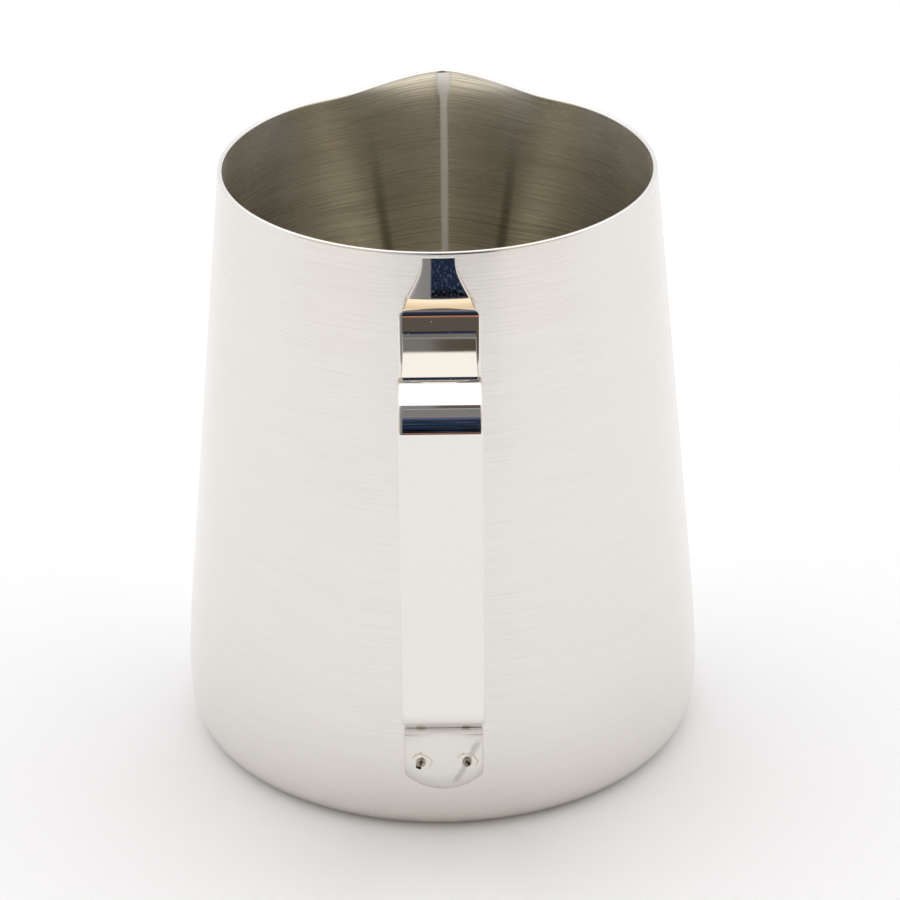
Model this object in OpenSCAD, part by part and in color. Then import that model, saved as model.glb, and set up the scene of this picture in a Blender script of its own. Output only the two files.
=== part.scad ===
// Milk frothing pitcher: a deep-drawn steel jug with a drawn pouring spout and a bent strip handle.
// Frame: the origin is where the jug's axis meets the surface that it stands on, +Z is up,
// the spout points along +Y and the handle stands out along -Y. Millimetres throughout.

/* [Jug] */
// Height from the base to the top of the lip
jug_height = 110; // [105:1:116]
// Outside radius of the mouth
mouth_radius = 39; // [38:0.5:41]
// Radius that the straight cone of the wall would have at the base
foot_radius = 49.3; // [48.8:0.1:49.8]
// Thickness of the drawn sheet
wall = 0.9; // [0.7:0.1:1.2]

/* [Base corner] */
// Height at which the cone starts to turn in towards the base
corner_height = 27; // [25:1:29]
// Radius of the flat base
base_radius = 42.4; // [41.5:0.1:43]
// How squarely the corner turns, from slack to tight
corner_fullness = 0.82; // [0.78:0.01:0.86]

/* [Spout] */
// Height at which the spout's crease starts to stand out of the wall
spout_bottom = 42; // [36:1:60]
// How far the crease stands out of the round mouth
spout_rise = 5.4; // [4.6:0.1:6.2]
// Drop of the flanks, in millimetres for each degree round the mouth
flank_slope = 0.25; // [0.21:0.01:0.29]
// Half width of the rounded crease, in degrees round the mouth
crease_softness = 1.6; // [1.4:0.1:3]
// How far round from straight opposite the handle the crease was drawn, in degrees
spout_turn = 1.7; // [-3:0.1:3]
// How far the wall is drawn in beside the flanks
flank_dip = 0.9; // [0:0.1:1.2]
// Extra turn-out of the lip at the tip
lip_flare = 2.4; // [1.5:0.1:2.8]

/* [Handle strip] */
// Width of the steel strip
strip_width = 14; // [12:0.5:16]
// Thickness of the steel strip
strip_thickness = 1.6; // [1.4:0.1:1.8]
// Outer radius of the arch at the top of the grip
arch_radius = 7.3; // [6.7:0.1:7.9]
// Outer radius of the bend at the foot of the grip
heel_radius = 2.9; // [2.5:0.1:4]
// Length of the straight grip between its two bends
grip_length = 50.5; // [47:0.5:53]
// Width of the upper tab at its ground top edge
tab_top_width = 5.7; // [4:0.1:8]

/* [Welds] */
// Radius of each spot weld in the lower tab
spot_radius = 0.9; // [0.7:0.1:1.5]
// Distance of each spot weld from the middle of the tab
spot_offset = 4.1; // [3:0.1:5]
// Height of the spot welds above the base
spot_height = 15.2; // [13.2:0.1:16.2]
// How far each spot weld stands proud of the tab
spot_proud = 0.15; // [0:0.05:0.4]

/* [Hidden] */

steel = [0.86, 0.85, 0.83];
strip_steel = [0.80, 0.79, 0.77];
weld_steel = [0.52, 0.46, 0.40];

// Steps of the drawn shell: round the jug, down the wall, round the base corner and over the lip
columns = 72;
wall_rows = 20;
corner_rows = 12;
lip_rows = 4;
// The columns crowd towards the spout by this many degrees
crowding = 32;
// The rows of the wall crowd towards the lip by this power
lip_crowding = 1.6;
// How gently the spout starts, and how quickly it narrows as it fades down the wall
spout_start = 1.25;
spout_narrowing = 0.6;
// Where the drawn-in hollow beside each flank lies, and how wide it is, in degrees
dip_angle = 31;
dip_spread = 10;
// Rounding between the flanks and the hollows, in millimetres
flank_blend = 0.8;
// Reach of the lip's turn-out, in degrees round the mouth and in millimetres down the wall
flare_spread = 16;
flare_depth = 1.8;

lip_z = jug_height - wall / 2;
cone_slope = (foot_radius - mouth_radius) / jug_height;
function cone_radius(z) = foot_radius - cone_slope * z;
// The way the leaning wall faces, in a plane through the axis
cone_normal = [1, cone_slope] / norm([1, cone_slope]);

// ---- the jug's outline in a plane through its axis, as [radius, height] ----

corner_top = [cone_radius(corner_height), corner_height];
corner_foot = [base_radius, 0];
corner_point = [foot_radius, 0];
corner_upper_pull = corner_top + (corner_point - corner_top) * corner_fullness;
corner_lower_pull = corner_foot + (corner_point - corner_foot) * corner_fullness;

function corner_at(t) =
    pow(1 - t, 3) * corner_foot + 3 * pow(1 - t, 2) * t * corner_lower_pull
    + 3 * (1 - t) * t * t * corner_upper_pull + pow(t, 3) * corner_top;
function corner_heading(t) =
    pow(1 - t, 2) * (corner_lower_pull - corner_foot)
    + 2 * (1 - t) * t * (corner_upper_pull - corner_lower_pull)
    + t * t * (corner_top - corner_upper_pull);
function wall_height(i) =
    corner_height + (lip_z - corner_height) * (1 - pow(1 - i / wall_rows, lip_crowding));

// Each row is [radius, height, outward normal]
function row(p, n) = [p[0], p[1], n / norm(n)];
outline = concat(
    [for (i = [0:corner_rows])
        let (t = i / corner_rows, d = corner_heading(t)) row(corner_at(t), [d[1], -d[0]])],
    [for (i = [1:wall_rows]) row([cone_radius(wall_height(i)), wall_height(i)], cone_normal)]
);
row_count = len(outline);

// ---- the spout, as a change of radius at an angle from +Y and a height ----

function soft_max(a, b, k) = (a + b + sqrt((a - b) * (a - b) + k * k)) / 2;
function bell(x) = exp(-x * x);
function spout_growth(z) = pow(max(0, (z - spout_bottom) / (lip_z - spout_bottom)), spout_start);
function spout_section(a) = soft_max(
    spout_rise - flank_slope * (sqrt(a * a + crease_softness * crease_softness) - crease_softness),
    -flank_dip * bell((a - dip_angle) / dip_spread),
    flank_blend
);
function flare(a, z) = lip_flare * bell(a / flare_spread) * exp((z - lip_z) / flare_depth);
function spout(a, z) =
    let (g = spout_growth(z), off = a - spout_turn)
    g <= 0 ? 0 : g * spout_section(abs(off) / pow(g, spout_narrowing)) + flare(off, z);
// Extra radial thickness where a flank crosses the radius at a slant
function slant(a, z, r) =
    let (side = (spout(a + 0.5, z) - spout(a - 0.5, z)) * 180 / PI / r)
    sqrt(1 + side * side) - 1;

function column_angle(j) =
    let (u = (j + 0.5) * 360 / columns - 180)
    u - crowding * sin(u);
function place(a, r, z) = [r * sin(a), r * cos(a), z];

// depth 0 is the outside face and depth 1 is the inside face
function skin(a, r, depth) =
    let (
        radius = r[0] - wall * depth * r[2][0],
        z = r[1] - wall * depth * r[2][1]
    )
    place(a, radius + spout(a, z) - wall * depth * slant(a, z, radius), z);

function lip(a, i) =
    let (
        top = outline[row_count - 1],
        outer = skin(a, top, 0),
        inner = skin(a, top, 1),
        turn = 180 * i / lip_rows
    )
    (outer + inner) / 2 + (outer - inner) / 2 * cos(turn) + [0, 0, wall / 2 * sin(turn)];

shell_rings = concat(
    [for (r = outline) [for (j = [0:columns - 1]) skin(column_angle(j), r, 0)]],
    [for (i = [1:lip_rows - 1]) [for (j = [0:columns - 1]) lip(column_angle(j), i)]],
    [for (i = [row_count - 1:-1:0])
        [for (j = [0:columns - 1]) skin(column_angle(j), outline[i], 1)]]
);
ring_count = len(shell_rings);

function ring_point(i, j) = i * columns + (j % columns);
shell_faces = concat(
    [[for (j = [columns - 1:-1:0]) ring_point(0, j)]],
    [for (i = [0:ring_count - 2]) for (j = [0:columns - 1])
        [ring_point(i, j), ring_point(i + 1, j + 1), ring_point(i + 1, j)]],
    [for (i = [0:ring_count - 2]) for (j = [0:columns - 1])
        [ring_point(i, j), ring_point(i, j + 1), ring_point(i + 1, j + 1)]],
    [[for (j = [0:columns - 1]) ring_point(ring_count - 1, j)]]
);

// ---- the handle strip, bent from flat, followed down its outer face from the top edge ----

// Each stretch is [length, turn]; a turn is in degrees, and positive turns the strip outwards.
function straight(length) = [length, 0];
function bend(radius, turn) = [radius * abs(turn) * PI / 180, turn];

degrees_per_step = 9;
// The tab's top edge lies this far below the lip and this far out of the mouth's radius
tab_drop = 1.5;
tab_lift = 0.35;
strip_start = [mouth_radius + tab_lift, jug_height - tab_drop];
strip_start_heading = -65;
// The tab bows down the wall, then tucks in tighter above the step
tab_bow = 28;
tab_turn = 12;
tuck_radius = 2.2;
tuck_turn = 4;
// The step out of the tab, and the crest that turns it down again
step_radius = 0.6;
step_slope = 38;
step_length = 1.4;
crest_radius = 2;
plate_heading = 80.8;
// The short plate below the crest, and the sharp crease that sends the strip outwards
plate_bow = 635;
plate_turn = 1;
crease_radius = 0.6;
// The leg rises out of the crease and flattens a little towards the arch
leg_rise = 37;
leg_bow = 59.5;
leg_turn = 11;
grip_lean = 5;
// The leg below the heel slopes back in, and a last bend lays the strip on the wall
lower_leg_slope = 33;
foot_bend_radius = 3;
foot_turn = 57;
foot_tab_end = 9;
foot_heading = -88;
// How much further out the wall is at the tab's end than at its top
foot_swell = 0.35;
// How far the rounded base corner lies inside the straight cone at the spot welds
corner_set_in = 1.45;

upper_stretches = [
    bend(tab_bow, -tab_turn),
    bend(tuck_radius, -tuck_turn),
    bend(step_radius, tab_turn + tuck_turn - strip_start_heading - step_slope),
    straight(step_length),
    bend(crest_radius, step_slope - plate_heading),
    bend(plate_bow, -plate_turn),
    bend(crease_radius, plate_heading + plate_turn + leg_rise),
    bend(leg_bow, -leg_turn),
    bend(arch_radius, leg_turn - leg_rise - 90 + grip_lean),
    straight(grip_length),
    bend(heel_radius, -90 - grip_lean + lower_leg_slope)
];

function walk(stretches, at, heading, i = 0, step = 0) =
    i == len(stretches) ? [[at, heading]] :
    let (
        steps = max(1, ceil(abs(stretches[i][1]) / degrees_per_step)),
        turn = stretches[i][1] / steps,
        way = heading + turn / 2,
        next = at + stretches[i][0] / steps * [cos(way), sin(way)],
        last = step == steps - 1
    )
    concat([[at, heading]], walk(stretches, next, heading + turn, last ? i + 1 : i, last ? 0 : step + 1));

upper_path = walk(upper_stretches, strip_start, strip_start_heading);
heel_end = upper_path[len(upper_path) - 1];

// The lower leg is as long as it takes to bring the strip against the wall
foot_reach = cone_radius(spot_height) - corner_set_in + strip_thickness;
foot_bend_reach = foot_bend_radius * (sin(-180 + lower_leg_slope + foot_turn) - sin(-180 + lower_leg_slope));
lower_leg_length = (heel_end[0][0] - foot_reach + foot_bend_reach) / cos(lower_leg_slope);
lower_stretches = [straight(lower_leg_length), bend(foot_bend_radius, foot_turn)];
lower_path = walk(lower_stretches, heel_end[0], heel_end[1]);
foot_top = lower_path[len(lower_path) - 1];

// The lower tab follows the wall down
foot_rows = 6;
foot_path = [for (i = [1:foot_rows])
    let (z = foot_top[0][1] + (foot_tab_end - foot_top[0][1]) * i / foot_rows)
    [[foot_top[0][0] + foot_swell * sin(90 * i / foot_rows), z], foot_heading]];

strip_path = concat(upper_path, [for (i = [1:len(lower_path) - 1]) lower_path[i]], foot_path);
strip_outer = [for (p = strip_path) p[0]];
strip_inner = [for (p = strip_path) p[0] - strip_thickness * [-sin(p[1]), cos(p[1])]];

// Half width of the upper tab at a height: a concave flare down to the shoulder
tab_length = 7.3;
tab_foot_inset = 0.75;
tab_flare = 1.35;
tab_foot_z = strip_start[1] - tab_length;
tab_foot_half = strip_width / 2 - tab_foot_inset;
tab_rows = 10;
function tab_half(z) =
    let (s = (strip_start[1] - z) / (strip_start[1] - tab_foot_z))
    tab_top_width / 2 + (tab_foot_half - tab_top_width / 2) * pow(s, tab_flare);
shoulder_radius = 0.9;
// The lower tab's end is an arc of this radius, which takes this much of its length
foot_end_radius = 9.7;
foot_arc_depth = 3;
cut_margin = 1;
// Height of the seam above the tab, and its thickness at its top
seam_height = 0.7;
seam_edge = 0.05;

// Sides drawn to a full turn of the jug, of the lower tab's end and of a spot weld
jug_sides = 180;
tab_end_sides = 96;
spot_sides = 48;

// ---- modules ----

// The jug's outside without the spout, filled in
module jug_envelope() {
    rotate_extrude($fn = jug_sides)
        polygon(concat([[0, 0]], [for (r = outline) [r[0], r[1]]], [[0, jug_height]]));
}

module body_shell() {
    color(steel)
        polyhedron(
            points = [for (ring = shell_rings) for (p = ring) p],
            faces = shell_faces,
            convexity = 6
        );
}

// The strip bent to shape at its full width
module bent_strip() {
    rotate([90, 0, 90])
        translate([0, 0, -strip_width / 2])
            linear_extrude(height = strip_width)
                mirror([1, 0])
                    polygon(concat(strip_outer, [for (i = [len(strip_inner) - 1:-1:0]) strip_inner[i]]));
}

// What is cut away on one side of the upper tab, from the ground top edge to the shoulder
module tab_side_cut() {
    rotate([90, 0, 0])
        linear_extrude(height = 2 * mouth_radius)
            polygon(concat(
                [[strip_width, jug_height], [tab_top_width / 2, jug_height]],
                [for (i = [0:tab_rows])
                    let (z = strip_start[1] + (tab_foot_z - strip_start[1]) * i / tab_rows)
                    [tab_half(z), z]],
                [for (turn = [0:30:90])
                    [strip_width / 2, tab_foot_z]
                    - shoulder_radius * [1 - sin(turn), 1 - cos(turn)]],
                [[strip_width, tab_foot_z - shoulder_radius]]
            ));
}

// The rounded end of the lower tab: what lies outside its arc
module foot_end_cut() {
    rotate([90, 0, 0])
        linear_extrude(height = 2 * foot_radius)
            difference() {
                translate([-strip_width, foot_tab_end - cut_margin])
                    square([2 * strip_width, foot_end_radius]);
                translate([0, foot_tab_end + foot_end_radius])
                    circle(r = foot_end_radius, $fn = tab_end_sides);
                translate([-strip_width, foot_tab_end + foot_arc_depth])
                    square([2 * strip_width, foot_end_radius]);
            }
}

module spot(side) {
    translate([side * spot_offset, 0, spot_height])
        rotate([90, 0, 0])
            cylinder(r = spot_radius, h = foot_reach + foot_swell + spot_proud, $fn = spot_sides);
}

module handle_strap() {
    color(strip_steel)
        difference() {
            bent_strip();
            jug_envelope();
            tab_side_cut();
            mirror([1, 0, 0]) tab_side_cut();
            foot_end_cut();
            spot(-1);
            spot(1);
        }
}

// The ground seam that closes the tab's top edge against the wall
module upper_weld() {
    low = strip_start[1];
    high = low + seam_height;
    sweep = 2 * asin(tab_top_width / 2 / mouth_radius);
    color(weld_steel)
        rotate([0, 0, -90 - sweep / 2])
            rotate_extrude(angle = sweep, $fn = jug_sides)
                polygon([
                    [cone_radius(low), low],
                    [strip_start[0], low],
                    [cone_radius(high) + seam_edge, high],
                    [cone_radius(high), high]
                ]);
}

// One spot weld, filling its place in the lower tab down to the wall
module spot_weld(side) {
    color(weld_steel)
        difference() {
            spot(side);
            jug_envelope();
        }
}

module lower_weld_left() {
    spot_weld(-1);
}

module lower_weld_right() {
    spot_weld(1);
}

body_shell();
handle_strap();
upper_weld();
lower_weld_left();
lower_weld_right();
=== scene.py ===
"""Milk frothing pitcher: the looks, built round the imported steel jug.

The jug is one drawn sheet with a pouring spout, and its handle is one bent strip of steel that is
welded on above and below. Both are remade here as smooth meshes on the same dimensions as the exact
parts, in metres, and dressed in worked steel: polished outside, brushed round the inside.
"""

import logging
import math
from collections.abc import Sequence
from dataclasses import dataclass, field
from enum import Enum

import bpy
import numpy as np
from mathutils import Matrix, Vector


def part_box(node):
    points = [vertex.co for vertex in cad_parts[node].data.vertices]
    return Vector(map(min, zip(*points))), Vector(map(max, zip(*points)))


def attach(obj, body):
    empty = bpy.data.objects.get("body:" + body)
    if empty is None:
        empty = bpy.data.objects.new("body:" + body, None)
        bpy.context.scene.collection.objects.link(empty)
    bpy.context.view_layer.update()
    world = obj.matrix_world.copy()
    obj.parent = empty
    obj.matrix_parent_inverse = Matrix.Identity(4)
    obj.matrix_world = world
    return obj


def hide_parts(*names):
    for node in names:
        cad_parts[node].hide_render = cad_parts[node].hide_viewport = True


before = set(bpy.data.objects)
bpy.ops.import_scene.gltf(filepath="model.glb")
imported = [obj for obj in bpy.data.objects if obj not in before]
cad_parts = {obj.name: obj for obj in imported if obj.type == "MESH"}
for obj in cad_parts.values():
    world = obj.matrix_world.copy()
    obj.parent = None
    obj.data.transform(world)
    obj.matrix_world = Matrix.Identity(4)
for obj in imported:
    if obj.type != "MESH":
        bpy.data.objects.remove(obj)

LOG = logging.getLogger("pitcher")
MM = 0.001
BODY = "root"

Colour = tuple[float, float, float, float]
Socket = bpy.types.NodeSocket


class Grain(Enum):
    """Which way a finish's fine lines run over the metal."""

    ROUND = "round the jug's axis"
    ACROSS = "across the strip"


# ---------------------------------------------------------------------------
# Shader helpers and shared effects
# ---------------------------------------------------------------------------


class Tree:
    """A node tree that is being wired, with short calls for the nodes used here."""

    def __init__(self, tree: bpy.types.NodeTree) -> None:
        """Starts on an empty tree.

        Args:
            tree: The node tree to fill.
        """
        self.tree = tree

    def node(self, kind: str, **settings: object) -> bpy.types.Node:
        """Adds a node.

        Args:
            kind: The node's type name.
            **settings: Properties set on the node.

        Returns:
            The new node.
        """
        made = self.tree.nodes.new(kind)
        for name, value in settings.items():
            setattr(made, name, value)
        return made

    def feed(self, socket: Socket, value: object) -> None:
        """Sets an input socket, or links it when the value is itself a socket.

        Args:
            socket: The input.
            value: A number, a vector or an output socket.
        """
        if isinstance(value, bpy.types.NodeSocket):
            self.tree.links.new(value, socket)
        else:
            socket.default_value = value

    def math(self, operation: str, *values: object) -> Socket:
        """Adds a Math node.

        Args:
            operation: The operation's name, such as MULTIPLY.
            *values: One to three inputs, each a number or a socket.

        Returns:
            The result's socket.
        """
        made = self.node("ShaderNodeMath", operation=operation)
        for socket, value in zip(made.inputs, values):
            self.feed(socket, value)
        return made.outputs[0]

    def product(self, *values: object) -> Socket:
        """Multiplies two or more values.

        Args:
            *values: The values, each a number or a socket.

        Returns:
            The product's socket.
        """
        result = values[0]
        for value in values[1:]:
            result = self.math("MULTIPLY", result, value)
        return result

    def distance(self, first: Socket, second: Socket) -> Socket:
        """Works out the length of a pair of sides at right angles.

        Args:
            first: One side.
            second: The other side.

        Returns:
            The length's socket.
        """
        squares = self.math("ADD", self.product(first, first), self.product(second, second))
        return self.math("SQRT", squares)

    def place(self, space: str = "Object") -> tuple[Socket, Socket, Socket]:
        """Splits a texture coordinate into its three parts.

        Args:
            space: Which coordinate.

        Returns:
            The sockets of x, y and z.
        """
        apart = self.node("ShaderNodeSeparateXYZ")
        self.feed(apart.inputs[0], self.node("ShaderNodeTexCoord").outputs[space])
        return tuple(apart.outputs)

    def ramp(
        self, value: object, low: float, high: float, to_low: float = 0.0, to_high: float = 1.0
    ) -> Socket:
        """Maps a range smoothly onto another.

        Args:
            value: The number to map.
            low: Where the change starts.
            high: Where the change ends.
            to_low: The result up to low.
            to_high: The result from high on.

        Returns:
            The mapped value's socket.
        """
        made = self.node("ShaderNodeMapRange", interpolation_type="SMOOTHSTEP")
        for name, number in (
            ("Value", value), ("From Min", low), ("From Max", high),
            ("To Min", to_low), ("To Max", to_high),
        ):
            self.feed(made.inputs[name], number)
        return made.outputs["Result"]

    def mix(self, factor: object, first: object, second: object) -> Socket:
        """Mixes two colours.

        Args:
            factor: Share of the second colour.
            first: A colour or socket.
            second: A colour or socket.

        Returns:
            The mixed colour's socket.
        """
        made = self.node("ShaderNodeMix", data_type="RGBA")
        self.feed(made.inputs[0], factor)
        self.feed(made.inputs[6], first)
        self.feed(made.inputs[7], second)
        return made.outputs[2]

    def noise(self, vector: object, scale: float, detail: float = 2.0, roughness: float = 0.5) -> Socket:
        """Adds a noise texture.

        Args:
            vector: Where it is sampled.
            scale: Its scale.
            detail: How many octaves it has.
            roughness: How strong the fine octaves are.

        Returns:
            The noise value's socket.
        """
        made = self.node("ShaderNodeTexNoise")
        self.feed(made.inputs["Vector"], vector)
        self.feed(made.inputs["Scale"], scale)
        self.feed(made.inputs["Detail"], detail)
        self.feed(made.inputs["Roughness"], roughness)
        return made.outputs["Fac"]

    def combine(self, x: object, y: object, z: object) -> Socket:
        """Puts three numbers together as a vector.

        Args:
            x: The first number.
            y: The second number.
            z: The third number.

        Returns:
            The vector's socket.
        """
        made = self.node("ShaderNodeCombineXYZ")
        for socket, value in zip(made.inputs, (x, y, z)):
            self.feed(socket, value)
        return made.outputs[0]

    def group(self, group: bpy.types.NodeTree, **inputs: object) -> bpy.types.Node:
        """Places a shader node group.

        Args:
            group: The group's node tree.
            **inputs: Its inputs by name, with underscores for spaces.

        Returns:
            The group node.
        """
        made = self.node("ShaderNodeGroup", node_tree=group)
        for name, value in inputs.items():
            self.feed(made.inputs[name.replace("_", " ")], value)
        return made


def new_group(
    name: str, inputs: Sequence[tuple[str, str, float]], outputs: Sequence[tuple[str, str]]
) -> tuple[bpy.types.NodeTree, Tree, bpy.types.Node, bpy.types.Node]:
    """Makes an empty shader node group with named sockets.

    Args:
        name: The group's name.
        inputs: Name, socket kind and default of each input.
        outputs: Name and socket kind of each output.

    Returns:
        The group, its tree helper, its input node and its output node.
    """
    group = bpy.data.node_groups.new(name, "ShaderNodeTree")
    for label, kind, default in inputs:
        socket = group.interface.new_socket(label, in_out="INPUT", socket_type=f"NodeSocket{kind}")
        if kind == "Float":
            socket.default_value = default
    for label, kind in outputs:
        group.interface.new_socket(label, in_out="OUTPUT", socket_type=f"NodeSocket{kind}")
    tree = Tree(group)
    return group, tree, tree.node("NodeGroupInput"), tree.node("NodeGroupOutput")


class Effects:
    """The effects that more than one finish uses, each a node group that is built once."""

    def __init__(self) -> None:
        """Builds every group."""
        self.grain_round = self._grain_round()
        self.grain_across = self._grain_across()
        self.handling = self._handling()

    @staticmethod
    def _streaks(tree: Tree, long_way: Socket, cross_way: Socket, inputs: bpy.types.Node) -> Socket:
        """Draws fine lines that are long one way and thin the other.

        Args:
            tree: The group's tree.
            long_way: Coordinate along the lines.
            cross_way: Coordinate across the lines.
            inputs: The group's input node, with Fineness and Length.

        Returns:
            The streaks' socket, from 0 to 1.
        """
        fine = tree.math("MULTIPLY", cross_way, inputs.outputs["Fineness"])
        run = tree.math("DIVIDE", long_way, inputs.outputs["Length"])
        first = tree.noise(tree.combine(run, fine, 0.0), 1.0, 3.0, 0.6)
        finer = tree.combine(tree.math("MULTIPLY", run, 3.1), tree.math("MULTIPLY", fine, 2.7), 5.0)
        second = tree.noise(finer, 1.0)
        return tree.math("ADD", tree.math("MULTIPLY", first, 0.6), tree.math("MULTIPLY", second, 0.4))

    def _grain_round(self) -> bpy.types.NodeTree:
        """Builds the lines that run round an upright axis.

        Returns:
            The node group.
        """
        group, tree, given, result = new_group(
            "grain_round",
            [("Fineness", "Float", 4000.0), ("Length", "Float", 0.02)],
            [("Streaks", "Float"), ("Bands", "Float")],
        )
        x, y, z = tree.place()
        angle = tree.math("ARCTAN2", x, y)
        out = tree.distance(x, y)
        arc = tree.math("MULTIPLY", angle, out)
        # On the wall the lines stack up the height; on the flat base they are rings, told apart by radius
        base = tree.ramp(z, 0.0012, 0.0060, 1.0, 0.0)
        cross = tree.math("SUBTRACT", z, tree.math("MULTIPLY", out, base))
        streaks = self._streaks(tree, arc, cross, given)
        wide = tree.combine(tree.math("MULTIPLY", angle, 0.8), tree.math("MULTIPLY", cross, 160.0), 2.0)
        bands = tree.noise(wide, 1.0, 2.0)
        tree.feed(result.inputs["Streaks"], streaks)
        tree.feed(result.inputs["Bands"], bands)
        return group

    def _grain_across(self) -> bpy.types.NodeTree:
        """Builds the lines that run across the strip's width.

        Returns:
            The node group.
        """
        group, tree, given, result = new_group(
            "grain_across",
            [("Fineness", "Float", 4000.0), ("Length", "Float", 0.02)],
            [("Streaks", "Float"), ("Bands", "Float")],
        )
        x, y, z = tree.place()
        along = tree.math("SUBTRACT", z, y)
        streaks = self._streaks(tree, x, along, given)
        wide = tree.combine(tree.math("MULTIPLY", x, 40.0), tree.math("MULTIPLY", along, 60.0), 2.0)
        bands = tree.noise(wide, 1.0, 2.0)
        tree.feed(result.inputs["Streaks"], streaks)
        tree.feed(result.inputs["Bands"], bands)
        return group

    @staticmethod
    def _handling() -> bpy.types.NodeTree:
        """Builds the marks of handling: soft smears and small specks.

        Returns:
            The node group.
        """
        group, tree, given, result = new_group(
            "handling_marks",
            [("Smear Size", "Float", 60.0), ("Speck Size", "Float", 900.0), ("Speck Share", "Float", 0.1)],
            [("Smears", "Float"), ("Specks", "Float")],
        )
        place = tree.node("ShaderNodeTexCoord").outputs["Object"]
        cloud = tree.node("ShaderNodeTexNoise")
        tree.feed(cloud.inputs["Vector"], place)
        tree.feed(cloud.inputs["Scale"], given.outputs["Smear Size"])
        tree.feed(cloud.inputs["Detail"], 4.0)
        tree.feed(cloud.inputs["Distortion"], 0.6)
        smears = tree.ramp(cloud.outputs["Fac"], 0.46, 0.68)
        cells = tree.node("ShaderNodeTexVoronoi", feature="F1")
        tree.feed(cells.inputs["Vector"], place)
        tree.feed(cells.inputs["Scale"], given.outputs["Speck Size"])
        chosen = tree.node("ShaderNodeSeparateColor")
        tree.feed(chosen.inputs[0], cells.outputs["Color"])
        keep = tree.math("LESS_THAN", chosen.outputs[0], given.outputs["Speck Share"])
        dot = tree.ramp(cells.outputs["Distance"], 0.10, 0.24, 1.0, 0.0)
        tree.feed(result.inputs["Smears"], smears)
        tree.feed(result.inputs["Specks"], tree.math("MULTIPLY", keep, dot))
        return group


# ---------------------------------------------------------------------------
# Finishes
# ---------------------------------------------------------------------------


@dataclass(frozen=True)
class SteelFinish:
    """A worked steel surface.

    Attributes:
        name: The material's name.
        light: Colour of the metal between the lines.
        dark: Colour of the metal in the lines.
        grain: Which way the fine lines run.
        fineness: Lines for each metre across the grain, roughly.
        length: How long a line is, in metres.
        roughness: Roughness of the clean surface.
        streak_roughness: How much rougher the lines are.
        bump: Depth of the lines as a bump, in metres.
        anisotropy: How far the lines stretch a reflection.
        smear: How much smears roughen and dull the surface.
        specks: Share of the surface with small specks.
        contrast: How strongly the lines show in the colour.
    """

    name: str
    light: Colour
    dark: Colour
    grain: Grain
    fineness: float
    length: float
    roughness: float
    streak_roughness: float
    bump: float
    anisotropy: float
    smear: float
    specks: float
    contrast: float

    def make(self, effects: Effects) -> bpy.types.Material:
        """Builds the material.

        Args:
            effects: The shared node groups.

        Returns:
            The material.
        """
        material = bpy.data.materials.new(self.name)
        material.use_nodes = True
        tree = Tree(material.node_tree)
        shader = material.node_tree.nodes["Principled BSDF"]
        shader.inputs["Metallic"].default_value = 1.0
        shader.inputs["Anisotropic"].default_value = self.anisotropy
        # A quarter turn, so that reflections stretch across the lines
        shader.inputs["Anisotropic Rotation"].default_value = 0.25
        group = effects.grain_round if self.grain is Grain.ROUND else effects.grain_across
        lines = tree.group(group, Fineness=self.fineness, Length=self.length)
        marks = tree.group(effects.handling, Smear_Size=55.0, Speck_Size=2300.0, Speck_Share=self.specks)
        depth = tree.ramp(lines.outputs["Streaks"], 0.38, 0.66)
        shade = tree.math("MULTIPLY", depth, self.contrast)
        bands = tree.math("SUBTRACT", lines.outputs["Bands"], 0.5)
        banded = tree.math("MULTIPLY_ADD", bands, self.contrast, shade)
        colour = tree.mix(banded, self.light, self.dark)
        colour = tree.mix(tree.math("MULTIPLY", marks.outputs["Specks"], 0.5), colour, (0.9, 0.88, 0.84, 1.0))
        rough = tree.math("MULTIPLY_ADD", depth, self.streak_roughness, self.roughness)
        rough = tree.math("MULTIPLY_ADD", marks.outputs["Smears"], self.smear, rough)
        rough = tree.math("MULTIPLY_ADD", marks.outputs["Specks"], 0.5, rough)
        colour, rough = self.mark(tree, colour, rough)
        bump = tree.node("ShaderNodeBump")
        bump.inputs["Strength"].default_value = 1.0
        bump.inputs["Distance"].default_value = self.bump
        tree.feed(bump.inputs["Height"], lines.outputs["Streaks"])
        tree.feed(shader.inputs["Base Color"], colour)
        tree.feed(shader.inputs["Roughness"], rough)
        tree.feed(shader.inputs["Normal"], bump.outputs["Normal"])
        if self.anisotropy:
            tangent = tree.node("ShaderNodeTangent", direction_type="RADIAL", axis="Z")
            tree.feed(shader.inputs["Tangent"], tangent.outputs[0])
        return material

    def mark(self, tree: Tree, colour: Socket, rough: Socket) -> tuple[Socket, Socket]:
        """Adds the marks that only one piece has; plain steel has none.

        Args:
            tree: The material's tree.
            colour: The colour so far.
            rough: The roughness so far.

        Returns:
            The colour and the roughness with the marks.
        """
        return colour, rough


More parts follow.
